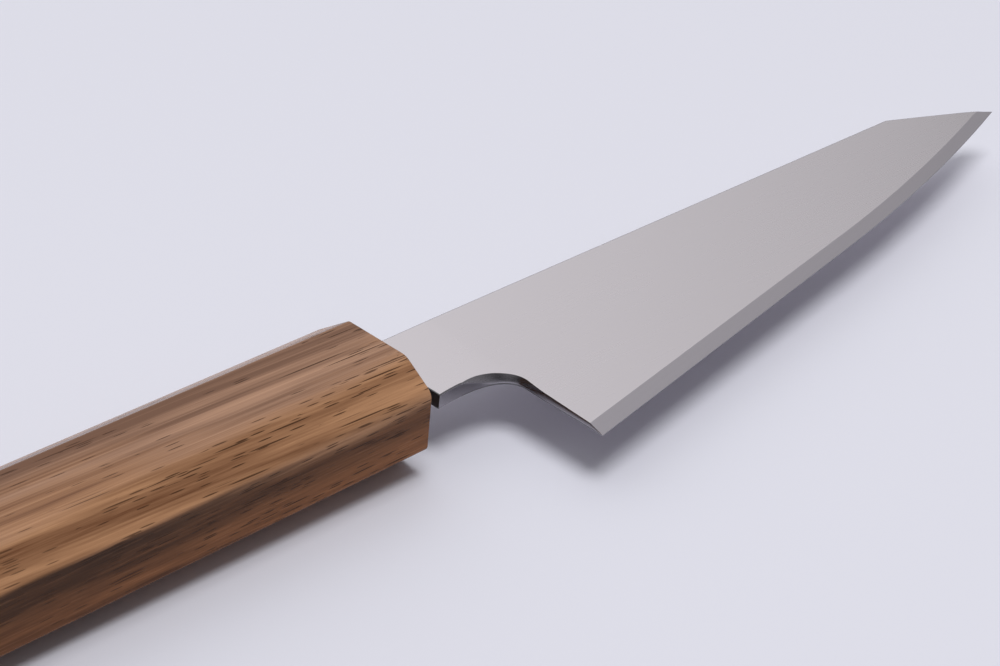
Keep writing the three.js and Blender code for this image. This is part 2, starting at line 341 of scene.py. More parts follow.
def tang_height(x):
    share = (shoulder_x - x) / (shoulder_x - tang_end_x)
    return tang_root_height + (TANG_END_HEIGHT - tang_root_height) * share


def slot_point(size, row, spot):
    radius = size["Slot thickness"] / 2
    along = limited(row - 1)
    opened = limited(row.maths("MINIMUM", row, SLOT_ROWS - 1 - row))
    upper = (spot > SLOT_STEPS / 2 - 0.5) - (spot > 1.5 * SLOT_STEPS + 0.5)
    x = between(size["Slot end"], size["Slot mouth"], along)
    height = between(size["Slot height at end"], size["Slot height at mouth"], along)
    angle = (spot - upper) * (math.pi / SLOT_STEPS)
    centre = (1 - 2 * upper) * (height / 2 - radius)
    y = centre + radius * spot.maths("COSINE", angle)
    z = radius * spot.maths("SINE", angle)
    return x, y * opened + handle_middle.y, z * opened + handle_middle.z, 0.0


slot_sizes = {
    "Slot thickness": stock + 2 * BOND_THICKNESS,
    "Slot end": tang_end_x - BOND_THICKNESS,
    "Slot mouth": front_x + MOUTH_OVERRUN,
    "Slot height at end": tang_height(tang_end_x - BOND_THICKNESS) + 2 * BOND_THICKNESS,
    "Slot height at mouth": tang_height(front_x + MOUTH_OVERRUN) + 2 * BOND_THICKNESS,
}
print("slot, mm:", {name: round(value / MM, 2) for name, value in slot_sizes.items()})


# %% Build the tree and bake the handle
def handle_tree(sizes, finish):
    tree = bpy.data.node_groups.new("octagonal_handle", "GeometryNodeTree")
    size, identifiers = group_inputs(tree, sizes)
    tree.interface.new_socket("Geometry", in_out="OUTPUT", socket_type="NodeSocketGeometry")
    start = Wire(tree)
    skin = sleeve(start, HANDLE_ROWS, HANDLE_SPOTS, partial(handle_point, size))
    slot = sleeve(start, SLOT_ROWS, 2 * (SLOT_STEPS + 1), partial(slot_point, size))
    meshes = {"Mesh 1": skin, "Mesh 2": slot}
    body = start.node("GeometryNodeMeshBoolean", {"operation": "DIFFERENCE"}, meshes)
    real = start.node("GeometryNodeRealizeInstances", None, {"Geometry": body})
    done = start.node("GeometryNodeSetMaterial", None, {"Geometry": real, "Material": finish})
    output = tree.nodes.new("NodeGroupOutput")
    tree.links.new(done.socket, output.inputs["Geometry"])
    return tree, identifiers


def bake(name, tree, identifiers, sizes):
    """Runs the tree on an empty mesh and keeps the result as a plain mesh."""
    piece = bpy.data.objects.new(name, bpy.data.meshes.new(name))
    bpy.context.scene.collection.objects.link(piece)
    rule = piece.modifiers.new("rule", "NODES")
    rule.node_group = tree
    for size_name, value in sizes.items():
        rule[identifiers[size_name]] = value
    evaluated = piece.evaluated_get(bpy.context.evaluated_depsgraph_get())
    piece.data = bpy.data.meshes.new_from_object(evaluated)
    piece.modifiers.remove(rule)
    return piece


wood = bpy.data.materials.new("brown_wood_finish")
knife_handle_sizes = {**handle_sizes, **slot_sizes}
octagon, octagon_inputs = handle_tree(knife_handle_sizes, wood)
handle = bake("finished_handle", octagon, octagon_inputs, knife_handle_sizes)
print("handle:", len(handle.data.vertices), "points,", len(handle.data.polygons), "faces")

# %% Smooth the handle's shading
SHARP_ANGLE = math.radians(35)
handle.data.polygons.foreach_set("use_smooth", [True] * len(handle.data.polygons))
handle.data.set_sharp_from_angle(angle=SHARP_ANGLE)
weighting = handle.modifiers.new("flat faces lead", "WEIGHTED_NORMAL")
weighting.keep_sharp = True
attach(handle, "root")
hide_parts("handle")
print("handle rides on root")

# %% [markdown]
# ## The blade's outline
# The blade is cut from a bar of steel: a straight spine with an angled clip, an edge that runs straight
# and then curves up to the tip, a square heel, a curved choil, two shoulders and a tapered tang. A Bezier
# curve object could draw it, but the grind needs to know where each stretch of the outline starts. So one
# small function draws every stretch: two control points give a straight line, three or four give a curve.

# %% Main points of the blade
HEEL_REACH = 21.4 * MM  # from the handle's front
TIP_DROP = 9.05 * MM  # from the line of the spine
TIP_LIFT = 5.1 * MM  # how far the edge curves up from its straight line
EDGE_STRAIGHT = 83.0 * MM
CLIP_ANGLE = math.radians(21.9)
NECK_DROP = 10.05 * MM  # from the middle of the handle down to where the choil starts
CHOIL_DEPTH = 14.75 * MM  # and down to where it ends in the heel
CHOIL_NECK_PULL = 5.3 * MM  # how far the curve's control points lie from its two ends
CHOIL_NECK_ANGLE = math.radians(7.8)
CHOIL_HEEL_PULL = 5.9 * MM
TANG_ROOT_FILLET = 1.2 * MM
TANG_END_FILLET = 2.5 * MM
heel = np.array((front_x + HEEL_REACH, blade_low.y))
tip = np.array((blade_high.x, spine_y - TIP_DROP))
clip_top = np.array((tip[0] - TIP_DROP / math.tan(CLIP_ANGLE), spine_y))
edge_run = tip[0] - heel[0]
edge_slope = (tip[1] - heel[1] - TIP_LIFT) / edge_run
curve_start = heel[0] + EDGE_STRAIGHT
curve_run = tip[0] - curve_start
print("edge, mm:", round(float(np.linalg.norm(tip - heel)) / MM, 2), "from heel to tip")


# %% Lines that the edge sets
BEVEL_WIDTH_HEEL = 3.05 * MM
BEVEL_WIDTH_TIP = 2.35 * MM
BACK_BEVEL_WIDTH = 0.8 * MM
HALVINGS = 50


def along_edge(x):
    """Share of the way from the heel to the tip."""
    return np.clip((x - heel[0]) / edge_run, 0.0, 1.0)


def edge_height(x):
    bend = np.maximum(0.0, (x - curve_start) / curve_run)
    return heel[1] + edge_slope * (x - heel[0]) + TIP_LIFT * bend**2


def edge_climb(x):
    """Slope of the edge."""
    bend = np.maximum(0.0, (x - curve_start) / curve_run)
    return edge_slope + 2 * TIP_LIFT * bend / curve_run


def bevel_line(x):
    """Where the ground bevel meets the right face."""
    width = BEVEL_WIDTH_HEEL + (BEVEL_WIDTH_TIP - BEVEL_WIDTH_HEEL) * along_edge(x)
    return edge_height(x) + width * np.hypot(1.0, edge_climb(x))


def back_bevel_line(x):
    return edge_height(x) + BACK_BEVEL_WIDTH * np.hypot(1.0, edge_climb(x))


def clip_line(x):
    return np.array((x, tip[1] + (tip[0] - x) * math.tan(CLIP_ANGLE)))


def meets_clip(line):
    """Where a line that follows the edge runs out at the clip, found by halving."""
    near, far = clip_top[0], tip[0]
    for _ in range(HALVINGS):
        middle = (near + far) / 2
        if line(middle) < clip_line(middle)[1]:
            near = middle
        else:
            far = middle
    return clip_line(near)


def meets_heel(line):
    return np.array((heel[0], line(heel[0])))


bevel_end = meets_clip(bevel_line)
print("bevel runs out", round(float(tip[0] - bevel_end[0]) / MM, 2), "mm behind the tip")

# %% [markdown]
# ## The grind
# This is the work that makes the knife. The back stays flat, but for a tiny bevel along the edge. The right
# face is ground straight from the spine to the bevel, thinner towards the tip and towards the edge, and a
# narrow bevel takes it down to the edge. The grind fades in over the choil, so the neck keeps the full
# thickness of the bar. A block could be cut with Booleans, but each ground surface is a simple function of
# height, and a mesh that takes its points from these functions has a crisp line wherever two of them meet.

# %% Heights of the two faces
GRIND_START = 12.0 * MM  # from the handle's front
TIP_THICKNESS = 1.4 * MM
BEVEL_TOP_HEEL = 1.1 * MM
BEVEL_TOP_TIP = 0.9 * MM
BACK_BEVEL_RISE = 0.12 * MM
EDGE_LAND = 0.1 * MM
back_z = blade_low.z


def ground_share(x):
    share = np.clip((x - front_x - GRIND_START) / (HEEL_REACH - GRIND_START), 0.0, 1.0)
    return share * share * (3.0 - 2.0 * share)


def face_height(x, y, ground):
    """Right face, from the spine down to the bevel, where this share of the grind is taken off."""
    spine_thickness = stock + (TIP_THICKNESS - stock) * along_edge(x)
    bevel_top = BEVEL_TOP_HEEL + (BEVEL_TOP_TIP - BEVEL_TOP_HEEL) * along_edge(x)
    share = (y - bevel_line(x)) / (spine_y - bevel_line(x))
    thickness = bevel_top + (spine_thickness - bevel_top) * share
    return back_z + stock + (thickness - stock) * ground


def bevel_height(x, y, ground):
    """Ground bevel, from the right face down to the edge."""
    bevel_top = BEVEL_TOP_HEEL + (BEVEL_TOP_TIP - BEVEL_TOP_HEEL) * along_edge(x)
    edge_top = BACK_BEVEL_RISE + EDGE_LAND
    share = (y - edge_height(x)) / (bevel_line(x) - edge_height(x))
    thickness = edge_top + (bevel_top - edge_top) * share
    return back_z + stock + (thickness - stock) * ground


def back_bevel_height(x, y, ground):
    """Tiny bevel on the back, along the edge."""
    share = (y - edge_height(x)) / (back_bevel_line(x) - edge_height(x))
    rise = BACK_BEVEL_RISE * (1.0 - share)
    return back_z + rise * ground


def top_height(x, y, ground=None):
    ground = ground_share(x) if ground is None else ground
    return np.minimum(face_height(x, y, ground), bevel_height(x, y, ground))


def bottom_height(x, y, ground=None):
    ground = ground_share(x) if ground is None else ground
    return np.maximum(back_z, back_bevel_height(x, y, ground))


print("thickness at the heel's bevel line, mm:", round(BEVEL_TOP_HEEL / MM, 2))


# %% Stretches of the outline, anticlockwise from the tang
def bezier(points, steps):
    share = np.linspace(0.0, 1.0, steps, endpoint=False)[:, None]
    level = [np.asarray(point, float)[None, :] for point in points]
    while len(level) > 1:
        level = [a + (b - a) * share for a, b in zip(level, level[1:])]
    return level[0]


def blade_stretches():
    tang_root, tang_tip = tang_root_height / 2, TANG_END_HEIGHT / 2
    root_x, end_x = shoulder_x - TANG_ROOT_FILLET, tang_end_x + TANG_END_FILLET
    root_half, end_half = tang_height(root_x) / 2, tang_height(end_x) / 2
    neck = np.array((shoulder_x, -NECK_DROP))
    neck_pull = CHOIL_NECK_PULL * np.array((math.cos(CHOIL_NECK_ANGLE), math.sin(CHOIL_NECK_ANGLE)))
    choil_end = np.array((heel[0], -CHOIL_DEPTH))
    heel_pull = choil_end + (0.0, CHOIL_HEEL_PULL)
    curve_foot = (curve_start, float(edge_height(curve_start)))
    curve_middle = (curve_start + tip[0]) / 2
    curve_pull = (curve_middle, heel[1] + edge_slope * (curve_middle - heel[0]))
    root_turn, end_turn = tang_root + TANG_ROOT_FILLET, tang_tip - TANG_END_FILLET
    return [
        ("tang", 30, (end_x, -end_half), (root_x, -root_half)),
        ("root", 8, (root_x, -root_half), (shoulder_x, -tang_root), (shoulder_x, -root_turn)),
        ("shoulder", 4, (shoulder_x, -root_turn), neck),
        ("choil", 30, neck, neck + neck_pull, heel_pull, choil_end),
        ("heel", 14, choil_end, meets_heel(bevel_line)),
        ("heel", 6, meets_heel(bevel_line), meets_heel(back_bevel_line)),
        ("heel", 4, meets_heel(back_bevel_line), heel),
        ("edge", 40, heel, curve_foot),
        ("edge", 60, curve_foot, curve_pull, tip),
        ("clip", 4, tip, meets_clip(back_bevel_line)),
        ("clip", 6, meets_clip(back_bevel_line), meets_clip(bevel_line)),
        ("clip", 10, meets_clip(bevel_line), clip_top),
        ("spine", 70, clip_top, (shoulder_x, spine_y)),
        ("shoulder", 4, (shoulder_x, spine_y), (shoulder_x, root_turn)),
        ("root", 8, (shoulder_x, root_turn), (shoulder_x, tang_root), (root_x, root_half)),
        ("tang", 30, (root_x, root_half), (end_x, end_half)),
        ("end", 8, (end_x, end_half), (tang_end_x, tang_tip), (tang_end_x, end_turn)),
        ("end", 4, (tang_end_x, end_turn), (tang_end_x, -end_turn)),
        ("end", 8, (tang_end_x, -end_turn), (tang_end_x, -tang_tip), (end_x, -end_half)),
    ]


stretches = blade_stretches()
outline = np.concatenate([bezier(points, steps) for _, steps, *points in stretches])
stretch_names = np.repeat([name for name, *_ in stretches], [steps for _, steps, *_ in stretches])
print("outline:", len(outline), "points in", len(stretches), "stretches")

# %% [markdown]
# ## From the outline to a solid
# Apart from the edge itself, no rim of a good knife is left sharp: the spine is eased, and the wall of
# choil and heel is rolled over by hand so that it doesn't bite the forefinger. A Bevel modifier would also
# round the edge and the bevel's shoulder. So the rim is made of rings: the outline is drawn in along an
# arc, which is a quarter circle where the rim is eased, and a flatter, taller arc where the wall is rolled
# over.

# %% Which way the outline faces
def plan_normals(points):
    """The outward normals of the stretch before and after each point."""
    step = np.roll(points, -1, axis=0) - points
    step = step / np.linalg.norm(step, axis=1)[:, None]
    after = np.stack((step[:, 1], -step[:, 0]), axis=1)
    return np.roll(after, 1, axis=0), after


normal_before, normal_after = plan_normals(outline)
corner_cosine = np.sum(normal_before * normal_after, axis=1)
mitre = (normal_before + normal_after) / (1.0 + corner_cosine)[:, None]
print("sharpest corner turns by", round(float(np.degrees(np.arccos(corner_cosine.min())))), "degrees")

# %% How the rims are eased
EASE_RIGHT = 0.25 * MM
EASE_BACK = 0.3 * MM
EASE_SHARE = 0.35  # at most this share of the wall
EASE_STEPS = 5
ROLL_TOP = math.radians(30), math.radians(17)  # lean of the wall at the right face, in choil and heel
ROLL_BOTTOM = math.radians(17), math.radians(8)  # and where it reaches the upright strip below it
ROLL_FOOT = 0.75 * MM, 1.1 * MM  # height of that strip and of the eased back under it
ROLL_BACK = 0.5 * MM, 0.3 * MM  # how far the back is eased there
HEEL_BLEND = 4.0 * MM  # from the end of the choil to where the heel's own roll is reached
ROLL_START = 5.5 * MM  # from the shoulders to where the roll starts
ROLL_FULL = 12.5 * MM  # and to where it is full
wall = top_height(*outline.T) - bottom_height(*outline.T)
past_shoulder = outline[:, 0] - shoulder_x
rolled = np.clip((past_shoulder - ROLL_START) / (ROLL_FULL - ROLL_START), 0.0, 1.0)
rolled *= np.isin(stretch_names, ("choil", "heel"))
down_heel = np.clip((-CHOIL_DEPTH - outline[:, 1]) / HEEL_BLEND, 0.0, 1.0)
roll_top, roll_bottom, roll_foot, roll_back = (
    choil_size + (heel_size - choil_size) * down_heel
    for choil_size, heel_size in (ROLL_TOP, ROLL_BOTTOM, ROLL_FOOT, ROLL_BACK)
)
eased_drop = np.minimum(EASE_RIGHT, EASE_SHARE * wall)
rolled_drop = np.maximum(wall - roll_foot, EASE_SHARE * wall)
right_drop = eased_drop + (rolled_drop - eased_drop) * rolled
right_top = np.where(rolled > 0.0, roll_top, QUARTER_TURN)
right_bottom = np.where(rolled > 0.0, roll_bottom, 0.0)
back_drop = np.minimum(EASE_BACK + (roll_back - EASE_BACK) * rolled, EASE_SHARE * wall)
ease_shares = np.linspace(1.0, 0.0, EASE_STEPS + 1)
right_leans = [right_bottom + (right_top - right_bottom) * share for share in ease_shares]
back_leans = [np.full_like(wall, QUARTER_TURN * share) for share in ease_shares]
print("rolled over:", int(np.sum(rolled > 0.0)), "of", len(outline), "points of the outline")


# %% Rings of points round the rim
def rim_rings(drop, leans, height, way):
    """Rings from a face over its rim to the wall; way is 1 for a drop and -1 for a rise."""
    top, bottom = leans[0], leans[-1]
    radius = drop / (np.sin(top) - np.sin(bottom))
    inner = outline - (radius * (np.cos(bottom) - np.cos(top)))[:, None] * mitre
    level = height(*inner.T)
    rings = []
    for lean in leans:
        plan = outline - (radius * (np.cos(bottom) - np.cos(lean)))[:, None] * mitre
        rings.append(np.column_stack((plan, level - way * radius * (np.sin(top) - np.sin(lean)))))
    return rings


right_rings = rim_rings(right_drop, right_leans, top_height, 1)
back_rings = rim_rings(back_drop, back_leans, bottom_height, -1)
rings = right_rings + back_rings[::-1]
print("rim:", len(rings), "rings of", len(outline), "points")

# %% [markdown]
# The two faces are flat or nearly so, and could be one big polygon each, but a polygon with so many corners
# shades badly. A Delaunay fill makes even triangles: it takes the inner ring, the line where the bevel
# starts, and a loose grid of points inside, and joins them so that no triangle crosses that line.

# %% Points inside the faces
GRID_STEP = 2.0 * MM
CLEARANCE = 0.9 * MM  # from the grid to the ring and to the bevel's line
LINE_STEPS = 100


def stretch_start(position):
    """Index of the outline's point that lies at a place."""
    return int(np.argmin(np.linalg.norm(outline - position, axis=1)))


def inside(points, ring):
    """Even-odd test: a point is inside if a ray from it crosses the ring an odd number of times."""
    start, end = ring[None], np.roll(ring, -1, axis=0)[None]
    x, y = points[:, 0, None], points[:, 1, None]
    straddles = (start[..., 1] > y) != (end[..., 1] > y)
    rise = np.where(straddles, end[..., 1] - start[..., 1], 1.0)
    crossing = start[..., 0] + (y - start[..., 1]) / rise * (end[..., 0] - start[..., 0])
    return np.sum(straddles & (x < crossing), axis=1) % 2 == 1


def grid_inside(ring, line):
    xs = np.arange(shoulder_x, tip[0], GRID_STEP)
    ys = np.arange(heel[1], spine_y, GRID_STEP)
    spots = np.stack(np.meshgrid(xs, ys), axis=-1).reshape(-1, 2)
    spots = spots[inside(spots, ring)]
    fixed = np.concatenate((ring, line))
    nearest = np.min(np.linalg.norm(spots[:, None] - fixed[None], axis=2), axis=1)
    return spots[nearest > CLEARANCE]


def points_along(line, ring):
    """Points across a face along the top of its bevel, between two points of its ring."""
    ends = stretch_start(meets_heel(line)), stretch_start(meets_clip(line))
    xs = np.linspace(ring[ends[0], 0], ring[ends[1], 0], LINE_STEPS + 1)[1:-1]
    return ends, np.column_stack((xs, line(xs)))


bevel_ends = stretch_start(meets_heel(bevel_line)), stretch_start(bevel_end)
print("top of the bevel joins points", bevel_ends, "of the outline")

# %% Fill a face with triangles
INSIDE_ONLY = 1  # the fill's mode: nothing outside the ring
FILL_TOLERANCE = 1e-6  # in millimetres


def fill_face(ring, line):
    ends, chosen = points_along(line, ring)
    points = np.concatenate((ring, chosen, grid_inside(ring, chosen)))
    count = len(ring)
    edges = [(i, (i + 1) % count) for i in range(count)]
    chain = [ends[0], *range(count, count + len(chosen)), ends[1]]
    edges += list(zip(chain, chain[1:]))
    spots = [Vector(point / MM) for point in points]
    _, _, filled, sources, _, _ = delaunay_2d_cdt(spots, edges, [], INSIDE_ONLY, FILL_TOLERANCE)
    came_from = [source[0] for source in sources]
    triangles = np.array([[came_from[corner] for corner in face] for face in filled])
    a, b, c = (points[triangles[:, corner]] for corner in range(3))
    turned = np.cross(b - a, c - a) < 0.0
    triangles[turned] = triangles[turned][:, ::-1]
    middle = (a + b + c) / 3
    in_bevel = middle[:, 1] < line(middle[:, 0])
    return points[count:], triangles, in_bevel


right_points, right_triangles, right_in_bevel = fill_face(right_rings[0][:, :2], bevel_line)
back_points, back_triangles, back_in_bevel = fill_face(back_rings[0][:, :2], back_bevel_line)
print("faces:", len(right_triangles), "triangles on the right,", len(back_triangles), "on the back")

# %% [markdown]
# Smooth shading would average the normals across the bevel's shoulder and blur it. Because the heights are
# known as functions, each corner of each face gets its true normal instead: the slope of its own surface
# on the faces, and a blend from the face's normal to the wall's round the eased rim. Only where the grind
# fades in, its own slope is left out of the normals, because polishing blends that place until nobody sees
# it.

# %% True normals
SLOPE_STEP = 0.001 * MM
SOFT_CORNER = math.cos(math.radians(20))  # a smaller turn than this is shaded smooth


def surface_normals(height, plan, way):
    x, y = plan.T
    ground = ground_share(x)
    rise_x = height(x + SLOPE_STEP, y, ground) - height(x - SLOPE_STEP, y, ground)
    rise_y = height(x, y + SLOPE_STEP, ground) - height(x, y - SLOPE_STEP, ground)
    slope_x, slope_y = rise_x / (2 * SLOPE_STEP), rise_y / (2 * SLOPE_STEP)
    normals = np.column_stack((-slope_x, -slope_y, np.ones_like(x))) * way
    return normals / np.linalg.norm(normals, axis=1)[:, None]


def wall_normals():
    """Outward normals at both ends of each stretch between neighbouring points."""
    mean = normal_before + normal_after
    mean = mean / np.linalg.norm(mean, axis=1)[:, None]
    soft = (corner_cosine > SOFT_CORNER)[:, None]
    start = np.where(soft, mean, normal_after)
    end = np.roll(np.where(soft, mean, normal_before), -1, axis=0)
    level = np.zeros((len(outline), 1))
    return np.hstack((start, level)), np.hstack((end, level))


def ring_normals(plan_normal, face_normal, lean):
    return plan_normal * np.cos(lean)[:, None] + face_normal * np.sin(lean)[:, None]


def flat_back(x, y, ground):
    return np.full_like(x, back_z)


print("corners shaded smooth:", int(np.sum(corner_cosine > SOFT_CORNER)), "of", len(outline))

# %% Add the two faces
# the fourth finish is the tang's dark, dull steel, also used as painted shade on the shoulders and under
# the roll
FACE, BEVEL, RIM, TANG_AND_SHADE = range(4)
ring_count = len(outline)
right_start = len(rings) * ring_count
back_start = right_start + len(right_points)
right_inside = np.column_stack((right_points, top_height(*right_points.T)))
back_inside = np.column_stack((back_points, bottom_height(*back_points.T)))
vertices = np.concatenate((*rings, right_inside, back_inside))
faces, loop_normals, finishes = [], [], []


def add_face(triangles, in_bevel, ring, start, heights, way):
    """Adds a face's triangles, with the normal of the surface that each of them lies on."""
    first = ring * ring_count
    corners = np.where(triangles < ring_count, triangles + first, triangles - ring_count + start)
    corners = corners[:, ::way]
    plan = vertices[:, :2]
    for finish, height in zip((FACE, BEVEL), heights):
        normals = surface_normals(height, plan, way)
        for corner in corners[in_bevel == (finish == BEVEL)]:
            faces.append(corner.tolist())
            loop_normals.extend(normals[corner].tolist())
            finishes.append(finish)


add_face(right_triangles, right_in_bevel, 0, right_start, (face_height, bevel_height), 1)
add_face(back_triangles, back_in_bevel, len(rings) - 1, back_start, (flat_back, back_bevel_height), -1)
print("two faces:", len(faces), "triangles,", finishes.count(BEVEL), "of them in the bevels")

# %% Add the rim
LEAN_FADE = 3  # power by which the roll's lean comes into the normals of the upright strip
# tang, root, shoulders and end get the dark tang steel; on the shoulders it is painted shade
rim_finishes = np.where(np.isin(stretch_names, ("tang", "root", "shoulder", "end")), TANG_AND_SHADE, RIM)


def add_rim():
    wall_start, wall_end = wall_normals()
    right_normals = surface_normals(top_height, right_rings[0][:, :2], 1)
    back_normals = surface_normals(bottom_height, back_rings[0][:, :2], -1)
    upright = np.zeros_like(wall)
    strips = [(right_normals, *pair) for pair in zip(right_leans, right_leans[1:])]
    strips.append((right_normals, right_leans[-1] * rolled**LEAN_FADE, upright))
    strips += [(back_normals, *pair) for pair in zip(back_leans[::-1], back_leans[-2::-1])]
    following = np.roll(np.arange(ring_count), -1)
    for ring, (face, upper_lean, lower_lean) in enumerate(strips):
        near_upper = ring_normals(wall_start, face, upper_lean)
        near_lower = ring_normals(wall_start, face, lower_lean)
        far_lower = ring_normals(wall_end, face[following], lower_lean[following])
        far_upper = ring_normals(wall_end, face[following], upper_lean[following])
        for near, far in enumerate(following):
            high, low = ring * ring_count, (ring + 1) * ring_count
            faces.append([high + near, low + near, low + int(far), high + int(far)])
            loop_normals.extend((near_upper[near], near_lower[near], far_lower[near], far_upper[near]))
            # the eased back under the roll gets the dark tang steel as painted shade
            shaded_under_roll = ring > EASE_STEPS and rolled[near] > 0.0
            finishes.append(TANG_AND_SHADE if shaded_under_roll else int(rim_finishes[near]))


add_rim()
print("blade:", len(vertices), "points,", len(faces), "faces")

# %% Make the blade a piece
blade_mesh = bpy.data.meshes.new("finished_blade")
blade_mesh.from_pydata(vertices.tolist(), [], faces)
steel_finishes = [bpy.data.materials.new(f"steel_{name}") for name in ("face", "bevel", "rim", "tang")]
for finish in steel_finishes:
    blade_mesh.materials.append(finish)
blade_mesh.polygons.foreach_set("material_index", finishes)
blade_mesh.polygons.foreach_set("use_smooth", [True] * len(faces))
blade_mesh.normals_split_custom_set([tuple(normal) for normal in loop_normals])
blade = bpy.data.objects.new("finished_blade", blade_mesh)
bpy.context.scene.collection.objects.link(blade)
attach(blade, "root")
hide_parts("blade")
print("blade rides on root")

# %% [markdown]
# ## Finishes
# Every finish starts the same way: from Object coordinates, because the pieces sit at the frame's origin,
# so that a pattern has its true size in millimetres and holds still on the piece.

# %% Helpers for finishes
def new_finish(finish):
    finish.use_nodes = True
    finish.node_tree.nodes.clear()
    return Wire(finish.node_tree)


def millimetres(start, turn=(0.0, 0.0, 0.0)):
    """Object coordinates in millimetres, turned by some angles."""
    place = start.node("ShaderNodeTexCoord", None, None, "Object")
    settings = {"vector_type": "POINT"}
    inputs = {"Vector": place, "Rotation": turn, "Scale": (1 / MM, 1 / MM, 1 / MM)}
    return start.node("ShaderNodeMapping", settings, inputs)


def stretched_noise(place, lengths, detail=2.0, shift=(0.0, 0.0, 0.0)):
    """Noise whose spots have about these lengths in millimetres along the three axes."""
    scale = tuple(1.0 / length for length in lengths)
    inputs = {"Vector": place, "Scale": scale, "Location": shift}
    stretched = place.node("ShaderNodeMapping", {"vector_type": "POINT"}, inputs)
    return place.node("ShaderNodeTexNoise", None, {"Vector": stretched, "Scale": 1.0, "Detail": detail})


def step_up(wire, low, high, bottom=0.0, top=1.0):
    """A smooth step from bottom to top as a value goes from low to high."""
    inputs = {"Value": wire, "From Min": low, "From Max": high, "To Min": bottom, "To Max": top}
    return wire.node("ShaderNodeMapRange", {"interpolation_type": "SMOOTHSTEP"}, inputs)


def mix_colours(start, share, first, second):
    colours = {0: share, 6: first, 7: second}
    return start.node("ShaderNodeMix", {"data_type": "RGBA"}, colours, 2)


def bump(start, height, strength, depth):
    return start.node("ShaderNodeBump", None, {"Strength": strength, "Distance": depth, "Height": height})


def finish_with(start, **inputs):
    """Closes a finish with one Principled shader."""
    named = {name.replace("_", " "): value for name, value in inputs.items()}
    shader = start.node("ShaderNodeBsdfPrincipled", None, named)
    start.node("ShaderNodeOutputMaterial", None, {"Surface": shader})


print("patterns are laid out in millimetres")

# %% [markdown]
# ## Steel
# The blade is polished along its length to a fine satin. The abrasive leaves hair-thin lines, much longer
# than wide. An anisotropic shader could imitate their sheen, but not the lines, so the finish is a metal
# whose roughness and colour waver a little along lines of stretched noise. The bevel is ground by itself on
# a stone, along the edge, and is brighter. The rim is smooth, and its steel is made darker than the face's
# as painted shade, so that the walls of choil and heel mirror darker. The tang is left dark and dull,
# because nobody sees it, and the same dark, dull steel is painted shade on the shoulders and under the
# roll.

# %% Steel finishes
LINE_CELL = (60.0, 0.16, 0.16)  # length and width of a polishing line, in millimetres
PATCH_CELL = (45.0, 14.0, 14.0)  # and of the faint patches between them
PATCH_SHARE = 0.5
TONE_SHARE = 0.25  # how much of the waver shows in the colour
LINE_STRENGTH = 0.008
LINE_DEPTH = 0.02 * MM
EDGE_TURN = math.radians(-10.6)  # lays the bevel's lines along the edge
steel_looks = {
    "face": {"colour": (0.75, 0.705, 0.73), "roughness": 0.28, "waver": 0.15},
    "bevel": {"colour": (0.85, 0.80, 0.855), "roughness": 0.30, "waver": 0.25, "turn": EDGE_TURN},
    # the rim's darker colour is painted shade: it darkens what the walls of choil and heel mirror
    "rim": {"colour": (0.33, 0.315, 0.34), "roughness": 0.26, "waver": 0.2},
    # the tang's dark steel, also painted shade on the shoulders and under the roll
    "tang": {"colour": (0.20, 0.20, 0.21), "roughness": 0.45, "waver": 0.3},
}


def steel_finish(finish, colour, roughness, waver, turn=0.0):
    start = new_finish(finish)
    place = millimetres(start, (0.0, 0.0, turn))
    lines = stretched_noise(place, LINE_CELL, detail=3.0)
    patches = stretched_noise(place, PATCH_CELL, detail=1.0)
    uneven = (lines - 0.5) * waver + (patches - 0.5) * (PATCH_SHARE * waver)
    light = tuple(channel * (1 + TONE_SHARE * waver) for channel in colour)
    dark = tuple(channel * (1 - TONE_SHARE * waver) for channel in colour)
    tone = mix_colours(start, limited(uneven + 0.5), (*dark, 1.0), (*light, 1.0))
    relief = bump(start, lines, LINE_STRENGTH, LINE_DEPTH)
    rough = roughness + uneven * roughness
    finish_with(start, Base_Color=tone, Metallic=1.0, Roughness=rough, Normal=relief)
    print(finish.name, "has", len(finish.node_tree.nodes), "nodes")


for finish, look in zip(steel_finishes, steel_looks.values()):
    steel_finish(finish, **look)

# %% [markdown]
# ## Wood
# The handle is an open-pored brown hardwood. Its growth rings are shells round the middle of the tree,
# which lay outside this stick. The outer ones, on the upper flat, are pale brown, paler still towards the
# front, with a darker streak on the spine's side. Further in the wood turns orange and red, and a dark
# band of heartwood runs along the side. The plane has cut the pores lengthwise, so they show as thin dark
# dashes. The ends, where the fibres are cut across, are darker, and they are darkened further as painted
# shade. A wood texture node gives rings, but neither pores nor the drift of the fibres, so each of these
# is a layer of its own: rings from a distance, streaks from noise that is stretched along the fibres, and
# pores from cells stretched in the same way.

# %% Grain of the wood
FIBRE_TURN = math.radians(2.3)  # the fibres run at a small angle to the handle
PITH = (0.0, -8.0, -42.0)  # middle of the tree, in millimetres
SWAY_CELL, SWAY_REACH = (55.0, 15.0, 15.0), 7.0  # slow waves of the rings
STREAK_CELL, STREAK_REACH = (110.0, 2.4, 2.4), 4.0  # and long streaks across them
FIBRE_CELL = (26.0, 0.42, 0.42)
RING_SPACING = 3.1
EARLY_START, EARLY_END = (0.0, 0.15), (0.30, 0.65)  # early wood, as shares of a ring
WARM_RADII, WARM_SHARE = (60.5, 63.0), 0.85  # orange wood fades out between these distances


